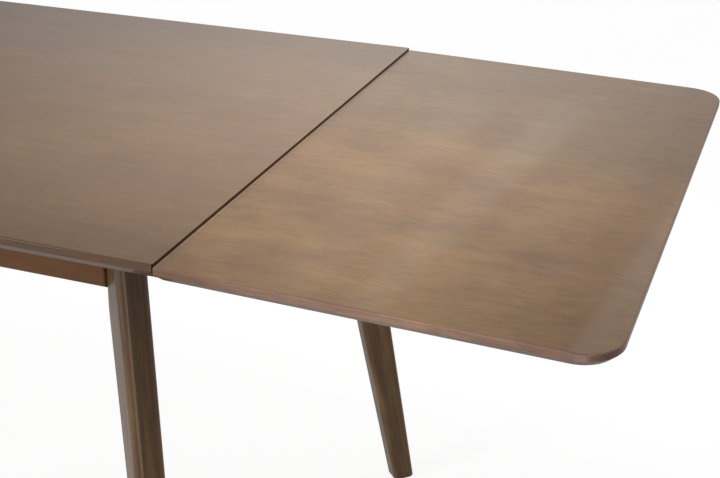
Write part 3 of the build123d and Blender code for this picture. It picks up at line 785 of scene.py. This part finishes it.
def copies_in_place(model, name, places, body, replaced, finish):
    """Copies of one modelled piece, each with its own mesh, joined where the CAD node has them."""
    made = []
    for place in places:
        copy = model.copy()
        copy.data = model.data.copy()
        copy.data.transform(place)
        bpy.context.scene.collection.objects.link(copy)
        made.append(copy)
    clear_selection()
    for copy in made:
        copy.select_set(True)
    bpy.context.view_layer.objects.active = made[0]
    bpy.ops.object.join()
    piece = bpy.context.object
    piece.name = name
    piece.data.name = name
    piece.data.materials.clear()
    piece.data.materials.append(finish)
    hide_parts(replaced)
    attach(piece, body)


small_screw = make_cross_screw(**SMALL_SCREW)
long_screw = make_cross_screw(**LONG_SCREW)
hex_nut = make_hex_nut()
lock_spring = wind_lock_spring()
for node_name, body_name, model, tilt in (
    ("hinge_fixed_screws", "table", small_screw, 0.0),
    ("hinge_leaf_screws", "leaf", small_screw, LEAF_SAG),
    ("bracket_base_screws", "table", small_screw, 0.0),
    ("bracket_arm_screws", "leaf", small_screw, LEAF_SAG),
    ("top_clip_screws", "table", small_screw, 0.0),
    ("corner_block_screws", "table", long_screw, 0.0),
):
    screw_places = [screw_place(low, high, tilt) for low, high in solids_of(node_name)]
    copies_in_place(model, node_name + "_cross_head", screw_places, body_name, node_name, bright_zinc)
nut_places = [nut_place(low, high) for low, high in solids_of("leg_nuts")]
copies_in_place(hex_nut, "leg_nuts_chamfered", nut_places, "table", "leg_nuts", bright_zinc)
spring_places = [Matrix.Translation((LEVER_PIVOT_X, y + LEVER_SIDE_PLAY, LEVER_PIVOT_Z)) for y in BRACKET_YS]
copies_in_place(lock_spring, "lock_springs_wound", spring_places, "table", "lock_springs", bright_zinc)
for model in (small_screw, long_screw, hex_nut, lock_spring):
    bpy.data.objects.remove(model, do_unlink=True)


# The floor: its greys under light and in view, and how brightly it shows in reflections, front and middle.
FLOOR_SIDE = 40.0
FLOOR_GREY = (0.55, 0.55, 0.55, 1)
FLOOR_SEEN_GREY = (0.30, 0.30, 0.30, 1)
FLOOR_SEEN_GLOW = 0.855
FLOOR_FRONT_Y, FLOOR_MIDDLE_Y = -1.0, -0.3
FLOOR_FRONT_GLOW, FLOOR_MIDDLE_GLOW = 0.10, 0.26

# A bright wedge of floor that opens from the near right leg, seen only in reflections: where it opens, its
# bearing, how far to each side it reaches and is full, where it starts and is full, and its strength.
WEDGE_X, WEDGE_Y = 0.33, -0.33
WEDGE_BEARING = 0.62
WEDGE_REACH, WEDGE_FULL = 0.30, 0.12
WEDGE_START, WEDGE_STARTED = 0.08, 0.20
WEDGE_STRENGTH = 2.4
WHITE = (1, 1, 1, 1)


def make_floor():
    """A pale floor, white where nothing shades it, that keeps the table's shadow."""
    bpy.ops.object.select_all(action="DESELECT")
    bpy.ops.mesh.primitive_plane_add(size=FLOOR_SIDE, location=(0, 0, 0))
    floor = bpy.context.object
    floor.name = "floor"
    made = bpy.data.materials.new("pale_floor")
    made.use_nodes = True
    tree = made.node_tree
    tree.nodes.clear()
    light = node(tree, "ShaderNodeLightPath").outputs
    mirrored = calc(tree, "MAXIMUM", light["Is Glossy Ray"], light["Is Transmission Ray"])
    plain = node(tree, "ShaderNodeBsdfDiffuse", {"Color": FLOOR_GREY}).outputs[0]
    shaded = node(tree, "ShaderNodeBsdfDiffuse", {"Color": FLOOR_SEEN_GREY}).outputs[0]
    white = node(tree, "ShaderNodeEmission", {"Color": WHITE, "Strength": FLOOR_SEEN_GLOW}).outputs[0]
    bright = node(tree, "ShaderNodeAddShader", {0: shaded, 1: white}).outputs[0]
    place = split(tree, object_place(tree))
    brightness = ramp(tree, place[1], FLOOR_FRONT_Y, FLOOR_MIDDLE_Y, FLOOR_FRONT_GLOW, FLOOR_MIDDLE_GLOW)
    aside = calc(tree, "SUBTRACT", place[0], WEDGE_X)
    ahead = calc(tree, "SUBTRACT", WEDGE_Y, place[1])
    bearing = calc(tree, "ARCTAN2", aside, ahead)
    off_line = calc(tree, "ABSOLUTE", calc(tree, "SUBTRACT", bearing, WEDGE_BEARING))
    within = ramp(tree, off_line, WEDGE_REACH, WEDGE_FULL)
    wedge = calc(tree, "MULTIPLY", within, ramp(tree, ahead, WEDGE_START, WEDGE_STARTED))
    brightness = calc(tree, "MULTIPLY_ADD", wedge, WEDGE_STRENGTH, brightness)
    glow = node(tree, "ShaderNodeEmission", {"Color": WHITE, "Strength": brightness}).outputs[0]
    sheen = node(tree, "ShaderNodeAddShader", {0: plain, 1: glow}).outputs[0]
    lit = node(tree, "ShaderNodeMixShader", {0: mirrored, 1: plain, 2: sheen}).outputs[0]
    mixed = node(tree, "ShaderNodeMixShader", {0: light["Is Camera Ray"], 1: lit, 2: bright}).outputs[0]
    node(tree, "ShaderNodeOutputMaterial", {"Surface": mixed})
    floor.data.materials.append(made)


# The surroundings as reflections show them: brightest behind the table, to the left, dimmer overhead.
AMBIENT_STRENGTH = 0.42
BACKDROP_STRENGTH = 1.0
BRIGHT_BEARING = math.radians(-19.0)
BRIGHT_REACH = math.radians(26.0)
DIM_GLOW, BRIGHT_GLOW = 0.42, 1.14
LOW_RISE, HIGH_RISE = 0.24, 0.55
LOW_SHARE, HIGH_SHARE = 1.3, 0.38

# Slanted bright slats behind the table, and one dark one: how steeply each slants, from and to where as a
# bearing at the horizon in degrees, and how much brighter or darker it is.
SLAT_BLUR = math.radians(0.25)
SLAT_FOOT = math.sin(math.radians(18.0))
SLAT_FULL = math.sin(math.radians(21.5))
LIGHT_SLATS = (
    (1.0, 3.6, 6.3, 0.32),
    (1.0, 8.4, 10.6, 0.65),
    (0.58, 6.3, 8.6, -0.15),
    (0.58, 8.6, 35.0, 0.70),
)


def make_surroundings():
    """A white studio: bright behind the table, with slats, dimmer overhead and to the right."""
    world = bpy.data.worlds.new("studio")
    bpy.context.scene.world = world
    world.use_nodes = True
    tree = world.node_tree
    tree.nodes.clear()
    light = node(tree, "ShaderNodeLightPath").outputs
    ambient = node(tree, "ShaderNodeBackground", {"Color": WHITE, "Strength": AMBIENT_STRENGTH}).outputs[0]
    backdrop = node(tree, "ShaderNodeBackground", {"Color": WHITE, "Strength": BACKDROP_STRENGTH}).outputs[0]
    apart = split(tree, node(tree, "ShaderNodeTexCoord").outputs["Generated"])
    bearing = calc(tree, "ARCTAN2", apart[0], apart[1])
    off_middle = calc(tree, "ABSOLUTE", calc(tree, "SUBTRACT", bearing, BRIGHT_BEARING))
    glow = ramp(tree, off_middle, BRIGHT_REACH, 0.0, DIM_GLOW, BRIGHT_GLOW)
    glow = calc(tree, "MULTIPLY", glow, ramp(tree, apart[2], LOW_RISE, HIGH_RISE, LOW_SHARE, HIGH_SHARE))
    height = calc(tree, "ARCSINE", apart[2])
    for steepness, low_degrees, high_degrees, extra in LIGHT_SLATS:
        low = math.radians(low_degrees)
        high = math.radians(high_degrees)
        slant = calc(tree, "MULTIPLY_ADD", height, steepness, bearing)
        past_low = ramp(tree, slant, low - SLAT_BLUR, low + SLAT_BLUR)
        before_high = ramp(tree, slant, high + SLAT_BLUR, high - SLAT_BLUR)
        slat = calc(tree, "MULTIPLY", past_low, before_high)
        slat = calc(tree, "MULTIPLY", slat, ramp(tree, apart[2], SLAT_FOOT, SLAT_FULL))
        glow = calc(tree, "MULTIPLY_ADD", slat, extra, glow)
    panel = node(tree, "ShaderNodeBackground", {"Color": WHITE, "Strength": glow}).outputs[0]
    mirrored = calc(tree, "MAXIMUM", light["Is Glossy Ray"], light["Is Transmission Ray"])
    lit = node(tree, "ShaderNodeMixShader", {0: mirrored, 1: ambient, 2: panel}).outputs[0]
    seen = node(tree, "ShaderNodeMixShader", {0: light["Is Camera Ray"], 1: lit, 2: backdrop}).outputs[0]
    node(tree, "ShaderNodeOutputWorld", {"Surface": seen})


# Square soft lamps: where each is, what it is aimed at, its side, its power, and whether lacquer mirrors it.
OVER_SEAM = (SEAM_X + 0.06, 0.06)
OVER_FAR_END = (SEAM_X - 1.05, 0.0)
SOFTBOXES = (
    ("key_softbox", (-1.7, -2.4, 0.9), (0.2, -0.2, 0.6), 1.3, 38.0, True),
    ("seam_softbox", (*OVER_SEAM, TOP_Z + 0.60), (*OVER_SEAM, TOP_Z), 0.4, 4.2, False),
    ("far_end_softbox", (*OVER_FAR_END, TOP_Z + 0.50), (*OVER_FAR_END, TOP_Z), 0.4, 0.55, False),
)


def add_softbox(name, place, target, side, power, mirrored):
    """A square soft lamp aimed at a point of the table."""
    lamp = bpy.data.lights.new(name, "AREA")
    lamp.shape = "RECTANGLE"
    lamp.size = side
    lamp.size_y = side
    lamp.energy = power
    holder = bpy.data.objects.new(name, lamp)
    bpy.context.scene.collection.objects.link(holder)
    holder.location = place
    holder.rotation_euler = (Vector(target) - Vector(place)).to_track_quat("-Z", "Y").to_euler()
    holder.visible_camera = False
    holder.visible_glossy = mirrored


def make_camera():
    """The camera at the photograph's place."""
    lens = bpy.data.cameras.new("camera")
    lens.sensor_fit = "HORIZONTAL"
    lens.sensor_width = SENSOR_WIDTH
    lens.lens = FOCAL_PIXELS / PHOTO_WIDTH * SENSOR_WIDTH
    lens.clip_start = 0.05
    lens.clip_end = 100.0
    camera = bpy.data.objects.new("camera", lens)
    bpy.context.scene.collection.objects.link(camera)
    turn = Matrix.Rotation(CAMERA_YAW, 4, "Z") @ Matrix.Rotation(math.pi / 2 - CAMERA_PITCH, 4, "X")
    turn = turn @ Matrix.Rotation(CAMERA_ROLL, 4, "Z")
    camera.matrix_world = Matrix.Translation(CAMERA_PLACE) @ turn
    bpy.context.scene.camera = camera


make_floor()
make_surroundings()
for softbox in SOFTBOXES:
    add_softbox(*softbox)
make_camera()

bpy.context.scene.view_settings.view_transform = "Standard"
